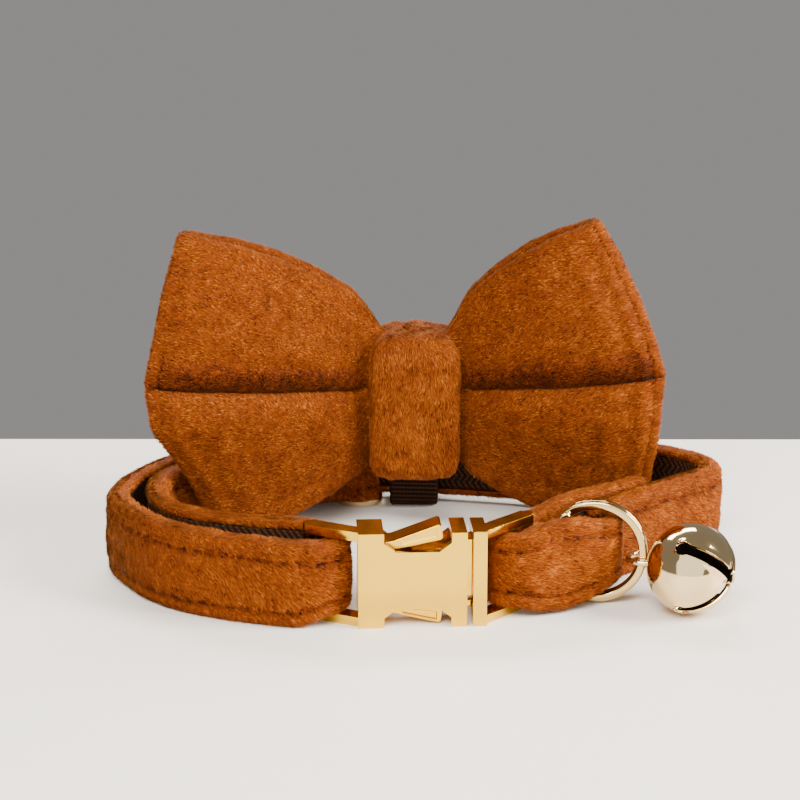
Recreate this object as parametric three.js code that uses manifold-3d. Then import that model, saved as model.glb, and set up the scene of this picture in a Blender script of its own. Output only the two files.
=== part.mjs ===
// Plush pet collar with a metal side release buckle, a bell on a split ring and a bow tie.
// Millimetres, +Z up, +X to the right, +Y away from the viewer. It stands on its edge at z = 0.
import * as THREE from 'three';
import { mergeVertices } from 'three/addons/utils/BufferGeometryUtils.js';
import Module from 'manifold-3d';

const wasm = await Module();
wasm.setup();

// Driving dimensions
const gap = 0.3;                 // clearance kept between separate pieces
const strapHeight = 13;          // strap edge to edge
const strapThick = 3.2;          // webbing with its plush cover
const webThick = 1.2;
const coverLip = 1.0;            // plush turned over each edge of the webbing
const backLift = 1.4;            // the back of the strap hangs this far off the table
const tabThick = 2.4;            // sewn tab that holds the split ring
const tabLow = 0.6;
const tabHigh = 14.6;
const buckleLong = 16;           // socket plate
const buckleTall = 14.6;
const buckleDeep = 7;
const buckleYaw = THREE.MathUtils.degToRad(3.5);
const buckleWall = 1.1;
const barRadius = 0.9;
const armHeight = 1.4;
const armDepth = 2.6;
const stripLong = 2.1;           // the prong half's face strip
const ringOuter = 7.8;           // split ring, outside radius
const wireWide = 1.3;            // radial width of its flat wire
const wireDeep = 1.05;           // one coil along the axis
const coilPitch = 1.2;
const bellRadius = 6.9;
const bellWall = 0.6;
const bellSlot = 1.7;
const shankRadius = 2.2;
const shankWire = 0.45;
const bowX = 2.4;
const bowY = 14.6;
const bowZ = 23.2;               // height of the crease at the knot
const clothThick = 2.2;          // plush panels of the bow
const knotWidth = 11.0;
const knotBulge = 1.8;           // how much narrower each side gets towards the top
const knotFoot = 0.5;            // and towards the bottom
const knotZ = 21.5;              // height of the knot's middle
const keeperWidth = 8;
const keeperThick = 0.8;
const shiftX = -3.235;           // from the plan's origin to the middle of the outline
const shiftY = 1.204;

// Plan of the strap: centre line of the whole loop, from its sewn right end round the back,
// the left end and the front to the buckle's bar, then back inside the loop to the slider.
// low and high are the strap's two edges.
const strapPlan = [
  { x: 28.6, y: -15.3, low: 0, high: 13 },
  { x: 33.6, y: -10.9, low: 0, high: 13 },
  { x: 38.6, y: -6.4, low: 0, high: 13 },
  { x: 45.2, y: -0.6, low: 0, high: 13 },
  { x: 49.5, y: 3.2, low: 0, high: 13 },
  { x: 50.8, y: 6.6, low: 0, high: 13 },
  { x: 49.0, y: 11.2, low: 0, high: 13 },
  { x: 44.4, y: 14.7, low: 0.2, high: 13.2 },
  { x: 35.0, y: 19.3, low: 0.8, high: 13.8 },
  { x: 22.0, y: 23.7, low: backLift, high: backLift + 13 },
  { x: 8.0, y: 26.9, low: backLift, high: backLift + 13 },
  { x: -5.4, y: 28.3, low: backLift, high: backLift + 13 },
  { x: -16.0, y: 25.3, low: 0.9, high: 13.9 },
  { x: -26.0, y: 20.1, low: 0.3, high: 13.3 },
  { x: -34.4, y: 13.9, low: 0, high: 13 },
  { x: -39.2, y: 7.9, low: 0, high: 13 },
  { x: -42.0, y: 2.6, low: 0, high: 13 },
  { x: -43.9, y: -3.6, low: 0, high: 13 },
  { x: -44.2, y: -9.0, low: 0, high: 13 },
  { x: -42.0, y: -14.2, low: 0, high: 13 },
  { x: -37.2, y: -21.4, low: 0, high: 13 },
  { x: -32.2, y: -25.7, low: 0, high: 13 },
  { x: -26.2, y: -28.7, low: 0, high: 13 },
  { x: -20.2, y: -30.8, low: 0, high: 13 },
  { x: -14.6, y: -32.2, low: 0.2, high: 13 },
  { x: -11.2, y: -31.7, low: 1.7, high: 12.9 },
  { x: -9.2, y: -29.4, low: 1.7, high: 12.9 },
  { x: -9.3, y: -26.2, low: 1.7, high: 12.9 },
  { x: -11.4, y: -23.6, low: 1.7, high: 12.9 },
  { x: -15.4, y: -22.2, low: 0.4, high: 13 },
  { x: -23.0, y: -20.4, low: 0, high: 13 },
  { x: -30.4, y: -17.8, low: 0, high: 13 },
  { x: -34.9, y: -14.5, low: 0, high: 13 },
  { x: -37.6, y: -9.6, low: 0, high: 13 },
  { x: -38.5, y: -4.0, low: 0, high: 13 },
  { x: -37.9, y: 1.0, low: 0, high: 13 },
  { x: -35.4, y: 6.4, low: 0, high: 13 },
  { x: -31.0, y: 11.9, low: 0, high: 13 },
  { x: -23.6, y: 17.2, low: 0.4, high: 13.4 },
  { x: -15.2, y: 21.4, low: 1.2, high: 14.2 },
  { x: -10.6, y: 23.0, low: backLift, high: backLift + 13 },
  { x: -7.4, y: 22.2, low: backLift, high: backLift + 13 },
  { x: -4.6, y: 23.6, low: backLift, high: backLift + 13 },
];

// Plan of the tab: from its inner end behind the strap, round the right bar of the buckle,
// along the front over the split ring, and back through the ring to the strap.
const tabPlan = [
  { x: 38.2, y: -2.2, low: 0.6, high: 13.4 },
  { x: 33.5, y: -6.3, low: 0.6, high: 13.6 },
  { x: 28.4, y: -10.8, low: 0.6, high: 14.0 },
  { x: 24.4, y: -14.6, low: tabLow, high: 14.2 },
  { x: 21.0, y: -17.9, low: 1.2, high: 13.4 },
  { x: 17.6, y: -20.3, low: 1.7, high: 12.9 },
  { x: 14.8, y: -22.0, low: 1.7, high: 12.9 },
  { x: 13.9, y: -24.6, low: 1.7, high: 12.9 },
  { x: 14.7, y: -27.2, low: 1.7, high: 12.9 },
  { x: 17.4, y: -28.6, low: 1.7, high: 12.9 },
  { x: 20.6, y: -28.0, low: 0.9, high: 14.2 },
  { x: 24.0, y: -26.6, low: tabLow, high: tabHigh },
  { x: 27.4, y: -25.0, low: 1.3, high: 14.3 },
  { x: 30.2, y: -23.2, low: 2.3, high: 13.4 },
  { x: 32.2, y: -20.8, low: 2.9, high: 12.9 },
  { x: 32.6, y: -17.9, low: 2.6, high: 12.9 },
  { x: 31.7, y: -15.9, low: 2.4, high: 12.9 },
];

// A bow wing from the knot's middle (along 0) to its outer fold (along 1): half the distance between
// the two panels, the depth of the crease, and how far the edges have opened out.
const wingPlan = [
  { along: 0.00, spread: 2.4, crease: 0.2, edge: 0 },
  { along: 0.15, spread: 2.4, crease: 0.3, edge: 0 },
  { along: 0.17, spread: 2.4, crease: 0.4, edge: 0.12 },
  { along: 0.24, spread: 4.2, crease: 2.0, edge: 0.46 },
  { along: 0.38, spread: 5.6, crease: 2.2, edge: 0.63 },
  { along: 0.56, spread: 6.0, crease: 1.9, edge: 0.78 },
  { along: 0.74, spread: 5.0, crease: 1.4, edge: 0.89 },
  { along: 0.90, spread: 3.3, crease: 0.8, edge: 0.96 },
  { along: 0.98, spread: 1.6, crease: 0.4, edge: 1.00 },
];
// Each wing's outer fold: reach from the knot's middle at heights from the lower corner (-1) over the
// crease (0) to the upper corner (1); top and foot are the corners' distances from the crease and
// sweep is how far the outer fold comes forward.
const wings = [
  {
    name: 'bow_wing_left',
    side: -1,
    top: 29.4,
    foot: 22.6,
    sweep: 16.8,
    outer: [
      { height: -1, reach: 30.5 },
      { height: -0.62, reach: 34.8 },
      { height: -0.46, reach: 37.2 },
      { height: -0.25, reach: 40.7 },
      { height: 0, reach: 41.5 },
      { height: 0.3, reach: 39.9 },
      { height: 0.6, reach: 38.4 },
      { height: 1, reach: 35.6 },
    ],
  },
  {
    name: 'bow_wing_right',
    side: 1,
    top: 30.0,
    foot: 22.6,
    sweep: 10.0,
    outer: [
      { height: -1, reach: 33.0 },
      { height: -0.75, reach: 36.8 },
      { height: -0.4, reach: 38.2 },
      { height: 0, reach: 39.0 },
      { height: 0.24, reach: 37.1 },
      { height: 0.5, reach: 34.6 },
      { height: 0.74, reach: 31.8 },
      { height: 1, reach: 27.9 },
    ],
  },
];
const rootShare = 0.16;          // share of each panel that lies inside the knot
const rootReach = 7.4;
const edgeClose = 0.55;          // the panels close up by this share towards their edges
const middleLift = 4.8;          // how much the crease rises towards the outer fold
const sweepStart = 8.4;          // the wings come forward beyond this reach
const knotRise = 7.2;            // half height of the gathered wings inside the knot
const knotDepth = 4.6;           // half depth of the hollow in the knot
const knotInner = 9.7;           // half height of that hollow

const gold = { color: 0xe0c48c, roughness: 0.22, metalness: 1 };
const silverGold = { color: 0xd9cfae, roughness: 0.15, metalness: 1 };
const plush = { color: 0xa9550f, roughness: 0.9, metalness: 0 };
const webbing = { color: 0x3a2212, roughness: 0.8, metalness: 0 };

const group = new THREE.Group();
group.position.set(shiftX, shiftY, 0);

// Geometry helpers

function signedVolume(geometry) {
  const p = geometry.attributes.position;
  const index = geometry.index;
  const a = new THREE.Vector3();
  const b = new THREE.Vector3();
  const c = new THREE.Vector3();
  let total = 0;
  for (let i = 0; i < index.count; i += 3) {
    a.fromBufferAttribute(p, index.getX(i));
    b.fromBufferAttribute(p, index.getX(i + 1));
    c.fromBufferAttribute(p, index.getX(i + 2));
    total += a.dot(b.cross(c)) / 6;
  }
  return total;
}

function closedGeometry(points, faces) {
  const geometry = new THREE.BufferGeometry();
  geometry.setAttribute('position', new THREE.Float32BufferAttribute(points.flatMap((v) => [v.x, v.y, v.z]), 3));
  geometry.setIndex(faces.flat());
  if (signedVolume(geometry) < 0) {
    geometry.setIndex(faces.flatMap(([a, b, c]) => [a, c, b]));
  }
  return geometry;
}

// A closed solid through a row of sections, each with the same number of points
function loft(rings, capShape) {
  const count = rings[0].length;
  const points = rings.flat();
  const faces = [];
  for (let i = 0; i + 1 < rings.length; i += 1) {
    for (let j = 0; j < count; j += 1) {
      const a = i * count + j;
      const b = i * count + (j + 1) % count;
      faces.push([a, b, b + count], [a, b + count, a + count]);
    }
  }
  const last = (rings.length - 1) * count;
  for (const [a, b, c] of THREE.ShapeUtils.triangulateShape(capShape, [])) {
    faces.push([a, c, b], [last + a, last + b, last + c]);
  }
  return closedGeometry(points, faces);
}

// A wall of even thickness on both sides of surface(s, t); around closes it along s
function wall(surface, sCount, tCount, thick, around) {
  const points = [];
  const faces = [];
  const step = 1e-3;
  const rows = around ? sCount : sCount + 1;
  for (const side of [1, -1]) {
    for (let i = 0; i < rows; i += 1) {
      for (let j = 0; j <= tCount; j += 1) {
        const s = i / sCount;
        const t = j / tCount;
        const alongS = surface(s + step, t).sub(surface(s - step, t));
        const alongT = surface(s, t + step).sub(surface(s, t - step));
        const normal = alongS.cross(alongT).normalize();
        points.push(surface(s, t).addScaledVector(normal, side * thick / 2));
      }
    }
  }
  const wide = tCount + 1;
  const other = rows * wide;
  const spans = around ? rows : rows - 1;
  for (let i = 0; i < spans; i += 1) {
    const next = (i + 1) % rows;
    for (let j = 0; j < tCount; j += 1) {
      const a = i * wide + j;
      const b = next * wide + j;
      faces.push([a, b, b + 1], [a, b + 1, a + 1]);
      faces.push([other + a, other + b + 1, other + b], [other + a, other + a + 1, other + b + 1]);
    }
    for (const j of [0, tCount]) {
      const a = i * wide + j;
      const b = next * wide + j;
      const quad = [[a, other + a, other + b], [a, other + b, b]];
      faces.push(...(j === 0 ? quad : quad.map(([p, q, r]) => [p, r, q])));
    }
  }
  if (!around) {
    for (const i of [0, rows - 1]) {
      for (let j = 0; j < tCount; j += 1) {
        const a = i * wide + j;
        const quad = [[a, a + 1, other + a + 1], [a, other + a + 1, other + a]];
        faces.push(...(i === 0 ? quad : quad.map(([p, q, r]) => [p, r, q])));
      }
    }
  }
  return closedGeometry(points, faces);
}

function solidOf(geometry) {
  const plain = geometry.index ? geometry.clone() : mergeVertices(geometry.clone());
  for (const name of ['normal', 'uv']) plain.deleteAttribute(name);
  const merged = mergeVertices(plain, 1e-5);
  return new wasm.Manifold(new wasm.Mesh({
    numProp: 3,
    vertProperties: new Float32Array(merged.attributes.position.array),
    triVerts: new Uint32Array(merged.index.array),
  }));
}

function geometryOf(solid) {
  const mesh = solid.getMesh();
  const geometry = new THREE.BufferGeometry();
  geometry.setAttribute('position', new THREE.Float32BufferAttribute(mesh.vertProperties, 3));
  geometry.setIndex(Array.from(mesh.triVerts));
  return geometry;
}

function add(name, geometry, look, parent = group) {
  const mesh = new THREE.Mesh(geometry, new THREE.MeshStandardMaterial(look));
  mesh.name = name;
  parent.add(mesh);
  return mesh;
}

// Straps

// Stations along a plan: place, outward side and edges, stepCount to each span
function stations(plan, stepCount) {
  const curve = new THREE.CatmullRomCurve3(plan.map((row) => new THREE.Vector3(row.x, row.y, 0)), false, 'centripetal');
  const spans = plan.length - 1;
  const result = [];
  for (let i = 0; i <= spans * stepCount; i += 1) {
    const at = i / stepCount;
    const row = Math.min(Math.floor(at), spans - 1);
    const part = at - row;
    const tangent = curve.getTangent(at / spans);
    result.push({
      place: curve.getPoint(at / spans),
      outward: new THREE.Vector3(tangent.y, -tangent.x, 0).normalize(),
      low: THREE.MathUtils.lerp(plan[row].low, plan[row + 1].low, part),
      high: THREE.MathUtils.lerp(plan[row].high, plan[row + 1].high, part),
    });
  }
  return result;
}

// Sweeps a section along the stations; a section point is { out, from, up }, where up is
// measured from the low or the high edge
function strip(plan, stepCount, section) {
  const rings = stations(plan, stepCount).map(({ place, outward, low, high }) => section.map(({ out, from, up }) => {
    const point = place.clone().addScaledVector(outward, out);
    point.z = (from === 'low' ? low : high) + up;
    return point;
  }));
  const flat = section.map(({ out, from, up }) => new THREE.Vector2(out, (from === 'low' ? 0 : strapHeight) + up));
  return loft(rings, flat);
}

const face = strapThick / 2;
const roll = 0.8;                // rounding of the plush over the strap's edges
const coverSection = [
  { out: -face, from: 'low', up: 0.4 },
  { out: -face + 0.4, from: 'low', up: 0 },
  { out: face - roll, from: 'low', up: 0 },
  { out: face, from: 'low', up: roll },
  { out: face, from: 'high', up: -roll },
  { out: face - roll, from: 'high', up: 0 },
  { out: -face + 0.4, from: 'high', up: 0 },
  { out: -face, from: 'high', up: -0.4 },
  { out: -face, from: 'high', up: -coverLip },
  { out: -face + webThick + gap, from: 'high', up: -coverLip },
  { out: -face + webThick + gap, from: 'low', up: coverLip },
  { out: -face, from: 'low', up: coverLip },
];
const webSection = [
  { out: -face, from: 'low', up: coverLip + gap },
  { out: -face + webThick, from: 'low', up: coverLip + gap },
  { out: -face + webThick, from: 'high', up: -coverLip - gap },
  { out: -face, from: 'high', up: -coverLip - gap },
];
const tabRoll = 0.6;
const tabSection = [
  { out: -tabThick / 2, from: 'low', up: tabRoll },
  { out: -tabThick / 2 + tabRoll, from: 'low', up: 0 },
  { out: tabThick / 2 - tabRoll, from: 'low', up: 0 },
  { out: tabThick / 2, from: 'low', up: tabRoll },
  { out: tabThick / 2, from: 'high', up: -tabRoll },
  { out: tabThick / 2 - tabRoll, from: 'high', up: 0 },
  { out: -tabThick / 2 + tabRoll, from: 'high', up: 0 },
  { out: -tabThick / 2, from: 'high', up: -tabRoll },
];
add('strap_cover', strip(strapPlan, 3, coverSection), plush);
add('strap_webbing', strip(strapPlan, 3, webSection), webbing);
add('ring_tab', strip(tabPlan, 3, tabSection), plush);

// Buckle, in its own frame: x along its face from the left edge, y into its depth

const buckle = new THREE.Group();
buckle.position.set(-6.1, -33.5, 0);
buckle.rotation.z = buckleYaw;
group.add(buckle);

function block(x0, x1, y0, y1, z0, z1) {
  const box = new THREE.BoxGeometry(x1 - x0, y1 - y0, z1 - z0);
  box.translate((x0 + x1) / 2, (y0 + y1) / 2, (z0 + z1) / 2);
  return solidOf(box);
}

// Extrudes an outline drawn in x and z through the depth from y0 to y1
function plate(outline, y0, y1) {
  const shape = new THREE.Shape(outline.map(([x, z]) => new THREE.Vector2(x, z)));
  const body = new THREE.ExtrudeGeometry(shape, { depth: y1 - y0, bevelEnabled: false });
  body.rotateX(Math.PI / 2);
  body.translate(0, y1, 0);
  return solidOf(body);
}

function post(x, y, radius, z0, z1) {
  const round = new THREE.CylinderGeometry(radius, radius, z1 - z0, 12);
  round.rotateX(Math.PI / 2);
  round.translate(x, y, (z0 + z1) / 2);
  return solidOf(round);
}

// Two arms and the bar between them that a strap turns round
function barFrame(x, y, angle, reach, tall) {
  const arms = [[0, armHeight], [tall - armHeight, tall]].map(([z0, z1]) => {
    const arm = new THREE.BoxGeometry(reach, armDepth, z1 - z0);
    arm.translate(reach / 2, 0, (z0 + z1) / 2);
    arm.rotateZ(angle);
    arm.translate(x, y, 0);
    return solidOf(arm);
  });
  const bar = post(x + reach * Math.cos(angle), y + reach * Math.sin(angle), barRadius, 0, tall);
  return arms[0].add(arms[1]).add(bar);
}

const lugShort = 3.8;            // lug lengths along the top and bottom edges
const lugRight = 2.3;
const waistDepth = 2.9;          // depth of the notch that a release lever sits in
const chamfer = 1.4;
const chamferRun = 1.8;
const bodyOutline = [
  [0, 0], [lugShort, 0], [lugShort, waistDepth - chamfer], [lugShort + chamferRun, waistDepth],
  [buckleLong - lugRight - chamferRun, waistDepth], [buckleLong - lugRight, waistDepth - chamfer],
  [buckleLong - lugRight, 0], [buckleLong, 0], [buckleLong, buckleTall], [buckleLong - lugRight, buckleTall],
  [buckleLong - lugRight, buckleTall - waistDepth + chamfer],
  [buckleLong - lugRight - chamferRun, buckleTall - waistDepth],
  [lugShort + chamferRun, buckleTall - waistDepth], [lugShort, buckleTall - waistDepth + chamfer],
  [lugShort, buckleTall], [0, buckleTall],
];
const cavityEdge = 1.4;          // wall left above and below the hollow of the socket
const armY = 0.5 + armDepth / 2;
const leftArmAngle = Math.PI - THREE.MathUtils.degToRad(29.5);
const leftReach = 9.2;
const socket = plate(bodyOutline, 0, buckleDeep)
  .subtract(block(1.6, buckleLong + 1, buckleWall, buckleDeep - buckleWall, cavityEdge, buckleTall - cavityEdge))
  .add(barFrame(1.0, armY, leftArmAngle, leftReach, buckleTall));
add('buckle_socket', geometryOf(socket), gold, buckle);

const stripX = buckleLong + 0.85;
const rightReach = 9.6;
const tongueBack = 8.2;
const tongueLow = 4.7;
const neckLong = 1.2;            // the taller part of the tongue that fills the slit between the halves
const neckLow = 4.2;
const neckTop = 1.7;
const prong = block(stripX, stripX + stripLong, 0, buckleDeep, 0, buckleTall)
  .add(block(tongueBack, stripX + 0.5, 1.6, buckleDeep - 1.6, tongueLow, buckleTall - tongueLow))
  .add(block(buckleLong - neckLong, stripX + 0.5, 1.6, buckleDeep - 1.6, neckLow, buckleTall - neckTop))
  .add(barFrame(stripX + stripLong - 0.9, armY, THREE.MathUtils.degToRad(42.5), rightReach + 0.9, buckleTall));
const pinHeights = [2.5, buckleTall - 2.5];
const pinSize = 0.5;
const prongWithPins = pinHeights.reduce((solid, z) => solid.add(
  block(buckleLong - 1.9, stripX + 0.5, buckleDeep / 2 - pinSize, buckleDeep / 2 + pinSize, z - pinSize, z + pinSize),
), prong);
add('buckle_prong', geometryOf(prongWithPins), gold, buckle);

// Release levers: wedges that are narrow at the pivot on the left. The outline is the upper one.
const pivotX = 3.2;
const pivotZ = buckleTall - 2.4;
const leverOutline = [
  [pivotX - 0.5, pivotZ - 0.5], [pivotX + 0.6, pivotZ - 0.6], [6.2, 11.9], [12.2, 13.1], [12.5, 13.5],
  [12.3, 15.2], [11.9, 15.4], [5.2, 13.0], [pivotX + 0.4, pivotZ + 0.55], [pivotX - 0.5, pivotZ + 0.4],
];
const leverFront = buckleWall + gap;
const leverBack = buckleDeep - buckleWall - gap;
const recess = [[6.6, 12.5], [11.6, 13.6], [11.6, 14.8], [6.6, 13.1]];
const recessDepth = 0.35;
const upperLever = plate(leverOutline, leverFront, leverBack)
  .subtract(plate(recess, leverFront - 1, leverFront + recessDepth));
add('release_lever_upper', geometryOf(upperLever), gold, buckle);
const flip = ([x, z]) => [x, buckleTall - z];
const lowerLift = 0.95;          // the lower lever sits this much further in than the upper one
const lowered = (outline) => outline.map(flip).map(([x, z]) => [x, z + lowerLift * Math.max(0, x - pivotX) / 9]);
const lowerLever = plate(lowered(leverOutline).reverse(), leverFront, leverBack)
  .subtract(plate(lowered(recess).reverse(), leverFront - 1, leverFront + recessDepth));
add('release_lever_lower', geometryOf(lowerLever), gold, buckle);

// Slider on the back of the strap: rounded rails above and below it, one post inside and two outside

const sliderX = -7.0;
const sliderFront = 22.9;
const sliderBack = 31.4;
const sliderHalf = 3.9;
const railThick = 1.0;
const sliderTop = backLift + strapHeight + gap;
function rail(z0) {
  const shape = new THREE.Shape();
  const corner = 2.6;
  shape.moveTo(sliderX - sliderHalf, sliderBack);
  shape.lineTo(sliderX - sliderHalf, sliderFront + corner);
  shape.quadraticCurveTo(sliderX - sliderHalf, sliderFront, sliderX, sliderFront);
  shape.quadraticCurveTo(sliderX + sliderHalf, sliderFront, sliderX + sliderHalf, sliderFront + corner);
  shape.lineTo(sliderX + sliderHalf, sliderBack);
  const body = new THREE.ExtrudeGeometry(shape, { depth: railThick, bevelEnabled: false, curveSegments: 6 });
  body.translate(0, 0, z0);
  return solidOf(body);
}
const sliderPostRadius = 0.6;
const outerPostY = 30.7;
const slider = rail(0)
  .add(rail(sliderTop))
  .add(post(sliderX, 25.05, sliderPostRadius, 0, sliderTop + railThick))
  .add(post(sliderX - 3.1, outerPostY + 0.1, sliderPostRadius, 0, sliderTop + railThick))
  .add(post(sliderX + 3.1, outerPostY + 0.1, sliderPostRadius, 0, sliderTop + railThick));
add('strap_slider', geometryOf(slider), gold);

// Split ring: two turns of a flat wire, in the plane that the ring stands in

const ringCentre = new THREE.Vector3(29.6, -21.6, ringOuter + 0.1);
const ringYaw = THREE.MathUtils.degToRad(-8);
const ringLean = THREE.MathUtils.degToRad(-3);
const wireRadius = ringOuter - wireWide / 2;
const coilTurns = 2;
const coilSteps = 32;
const wireStart = 0.6;           // where the wire's ends lie, from the top of the ring
const wireRings = [];
for (let i = 0; i <= coilTurns * coilSteps; i += 1) {
  const angle = Math.PI / 2 + wireStart + (i / coilSteps) * Math.PI * 2;
  const y = (i / coilSteps - coilTurns / 2) * coilPitch;
  const across = new THREE.Vector3(Math.cos(angle), 0, Math.sin(angle));
  const half = wireWide / 2;
  const deep = wireDeep / 2;
  const bevel = 0.25;
  const corners = [
    [half, deep - bevel], [half - bevel, deep], [-half + bevel, deep], [-half, deep - bevel],
    [-half, -deep + bevel], [-half + bevel, -deep], [half - bevel, -deep], [half, -deep + bevel],
  ];
  wireRings.push(corners.map(([out, depth]) => across.clone().multiplyScalar(wireRadius + out)
    .add(new THREE.Vector3(0, y + depth, 0))));
}
const wireCap = Array.from({ length: 8 }, (_, k) => {
  const angle = (k + 0.5) * Math.PI / 4;
  return new THREE.Vector2(Math.cos(angle), Math.sin(angle));
});
const ring = add('split_ring', loft(wireRings, wireCap), silverGold);
ring.position.copy(ringCentre);
ring.rotation.set(ringLean, 0, ringYaw, 'ZXY');

// Bell: a thin round shell with crossed slots at one pole and a wire shank at the other

const bellSquat = 0.95;          // the shell's height against its width
const bellRows = 12;
const bellSides = 22;
const eyeRadius = 1.15;
const eyeHeight = 0.9;

function bellBall(radius, squat) {
  const profile = [];
  for (let i = 0; i <= bellRows; i += 1) {
    const angle = -Math.PI / 2 + (i / bellRows) * Math.PI;
    const belt = 1 - (1 - squat) * Math.abs(Math.sin(angle));
    profile.push(new THREE.Vector2(i % bellRows === 0 ? 0 : radius * Math.cos(angle), radius * belt * Math.sin(angle)));
  }
  return solidOf(new THREE.LatheGeometry(profile, bellSides));
}

function bellSolid() {
  const inner = bellBall(bellRadius - bellWall, bellSquat - 0.01);
  const slots = [Math.PI / 4, -Math.PI / 4].map((turn) => {
    const box = new THREE.BoxGeometry(bellRadius * 2.2, bellRadius, bellSlot);
    box.translate(0, bellRadius / 2 + 0.6, 0);
    box.rotateY(turn);
    return solidOf(box);
  });
  const eyes = [0, 1, 2, 3].map((k) => {
    const hole = new THREE.CylinderGeometry(eyeRadius, eyeRadius, 4, 9);
    hole.rotateX(Math.PI / 2);
    hole.translate(0, eyeHeight, bellRadius);
    hole.rotateY(Math.PI / 4 + k * Math.PI / 2);
    return solidOf(hole);
  });
  const shank = new THREE.TorusGeometry(shankRadius, shankWire, 8, 18);
  shank.translate(0, -bellRadius * bellSquat - shankRadius * 0.6, 0);
  const shell = [inner, ...slots, ...eyes].reduce((solid, cut) => solid.subtract(cut), bellBall(bellRadius, bellSquat));
  return shell.add(solidOf(shank).subtract(inner));
}
const bellAxis = THREE.MathUtils.degToRad(-33.5);
const bellCentre = new THREE.Vector3(43.3, -26.7, bellRadius + 0.05);
const bell = add('bell', geometryOf(bellSolid()), silverGold);
bell.rotation.set(0, 0, bellAxis - Math.PI / 2);
bell.position.copy(bellCentre);

// Bow tie

// One row of the wing's table at a place along it
function wingRow(along) {
  let i = 0;
  while (i + 2 < wingPlan.length && wingPlan[i + 1].along < along) i += 1;
  const a = wingPlan[i];
  const b = wingPlan[i + 1];
  const part = THREE.MathUtils.clamp((along - a.along) / (b.along - a.along), 0, 1);
  const ease = part * part * (3 - 2 * part);
  return {
    spread: THREE.MathUtils.lerp(a.spread, b.spread, ease),
    crease: THREE.MathUtils.lerp(a.crease, b.crease, ease),
    edge: THREE.MathUtils.lerp(a.edge, b.edge, part),
  };
}

// Middle surface of a wing: s runs along the front panel to the outer fold and back along the rear
// panel, t runs from the lower edge to the upper one
function wingSurface({ side, outer, top, foot, sweep }) {
  const widest = Math.max(...outer.map((row) => row.reach));
  const reachAt = (height) => {
    let i = 0;
    while (i + 2 < outer.length && outer[i + 1].height < height) i += 1;
    const part = (height - outer[i].height) / (outer[i + 1].height - outer[i].height);
    return THREE.MathUtils.lerp(outer[i].reach, outer[i + 1].reach, part);
  };
  return (s, t) => {
    const turn = (s - 0.5) * Math.PI;
    const along = Math.sin(Math.PI * THREE.MathUtils.clamp(s, 0, 1));
    const height = t * 2 - 1;
    const outline = wingRow(along);
    const flare = Math.max(0, 1 - (1 - along) / (1 - rootShare));
    const reachHere = 0.2 + (rootReach - 0.2) * Math.min(along / rootShare, 1)
      + (reachAt(height) - rootReach) * (1 - (1 - flare) ** 1.15);
    const rise = height > 0 ? top : foot;
    const half = knotRise + (rise - knotRise) * outline.edge;
    const liftMiddle = middleLift * outline.edge * (1 - Math.abs(height));
    const out = Math.sign(turn) * outline.spread * Math.min(1, Math.abs(turn) * 6) * (1 - edgeClose * height ** 2);
    const valley = outline.crease * Math.exp(-((height / 0.16) ** 2)) * Math.sign(out);
    return new THREE.Vector3(
      bowX + side * reachHere,
      bowY + out - valley - sweep * (Math.max(0, reachHere - sweepStart) / (widest - sweepStart)) ** 1.1,
      bowZ + height * half + liftMiddle,
    );
  };
}
for (const wing of wings) {
  add(wing.name, wall(wingSurface(wing), 26, 12, clothThick, false), plush);
}

// Knot: a closed band round the gathered wings, wider at mid height
function knotSurface(s, t) {
  const angle = s * Math.PI * 2;
  const square = 0.27;           // 1 is an ellipse, lower is boxier
  const c = Math.cos(angle);
  const n = Math.sin(angle);
  const y = Math.sign(c) * Math.abs(c) ** square * (knotDepth + clothThick / 2);
  const z = Math.sign(n) * Math.abs(n) ** square * (knotInner + clothThick / 2);
  const width = knotWidth / 2 + knotBulge - (n > 0 ? knotBulge : knotFoot) * Math.abs(n) ** 3;
  return new THREE.Vector3(bowX + (t * 2 - 1) * width, bowY + y, knotZ + z);
}
add('bow_knot', wall(knotSurface, 24, 4, clothThick, true), plush);

// Keeper: a plain elastic band from the back of the knot round the strap
function keeperSurface(s, t) {
  const angle = s * Math.PI * 2;
  const c = Math.cos(angle);
  const n = Math.sin(angle);
  const square = 0.35;
  const front = bowY + knotDepth + clothThick + gap + keeperThick / 2;
  const back = 28.6 + face + gap + keeperThick / 2;
  const bottom = 0.1 + keeperThick / 2;
  const top = 21;
  return new THREE.Vector3(
    bowX + (t * 2 - 1) * keeperWidth / 2,
    (front + back) / 2 + Math.sign(c) * Math.abs(c) ** square * (back - front) / 2,
    (top + bottom) / 2 + Math.sign(n) * Math.abs(n) ** square * (top - bottom) / 2,
  );
}
add('bow_keeper', wall(keeperSurface, 24, 1, keeperThick, true), webbing);

export default group;
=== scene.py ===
import math

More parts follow.
